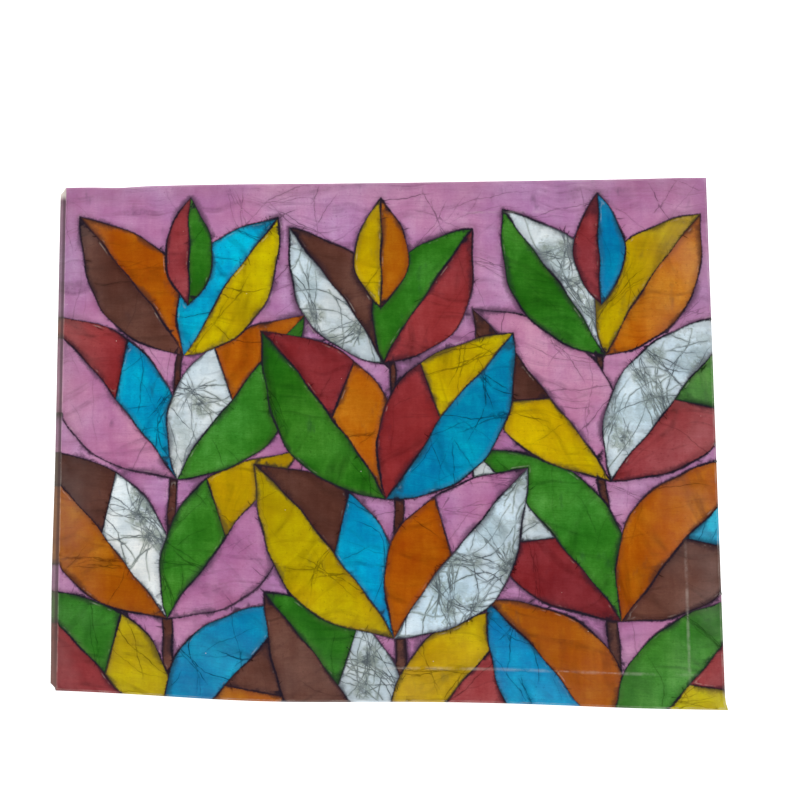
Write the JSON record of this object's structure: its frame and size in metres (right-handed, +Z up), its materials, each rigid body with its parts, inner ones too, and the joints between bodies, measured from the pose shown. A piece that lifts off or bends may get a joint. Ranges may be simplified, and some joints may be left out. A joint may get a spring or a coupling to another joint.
{
  "type": "batik wall hanging on stretcher frame",
  "caption": "Crackled batik cotton picture stretched over a shallow mitred wooden frame and turned back on the rear, with an open recess behind for the wall hook.",
  "frame": {"origin": "seat of the wall hook: middle of the underside of the top batten, at mid depth", "axes": "+X to the right as one faces the picture, +Y into the wall, +Z up"},
  "size_m": [0.5149, 0.0186, 0.3971],
  "materials": {
    "batik_cotton": "matt plain-weave cotton, wax-resist dyed with crackle",
    "stretcher_wood": "planed unvarnished softwood",
    "tack_steel": "blued steel tacks, dull"
  },
  "bodies": {
    "root": {"batik_cloth": "batik_cotton", "bar_top": "stretcher_wood", "bar_bottom": "stretcher_wood", "bar_left": "stretcher_wood", "bar_right": "stretcher_wood"}
  },
  "joints": []
}
